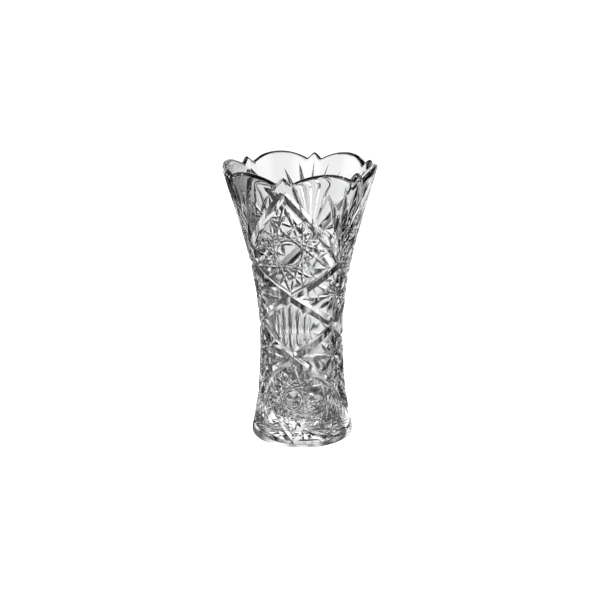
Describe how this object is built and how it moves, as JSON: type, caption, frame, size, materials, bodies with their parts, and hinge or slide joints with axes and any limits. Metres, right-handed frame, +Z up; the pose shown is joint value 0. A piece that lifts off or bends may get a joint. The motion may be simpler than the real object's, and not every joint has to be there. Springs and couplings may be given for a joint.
{
  "type": "cut crystal vase",
  "caption": "Flared vase of clear cut glass with a narrow waist, thick base, scalloped rim and a net of deep diagonal cuts framing stars, rays and flutes.",
  "frame": {"origin": "centre of the foot, in the plane that the vase stands on", "axes": "+Z up along the vase's axis to the rim; -Y through the middle of one star column, which faces the front; +X to the right seen from the front"},
  "size_m": [0.1112, 0.1108, 0.205],
  "materials": {
    "crystal": "fire-polished clear crystal glass, colourless, with crisp cut facets"
  },
  "bodies": {
    "root": {"glass_vase": "crystal"}
  },
  "joints": []
}
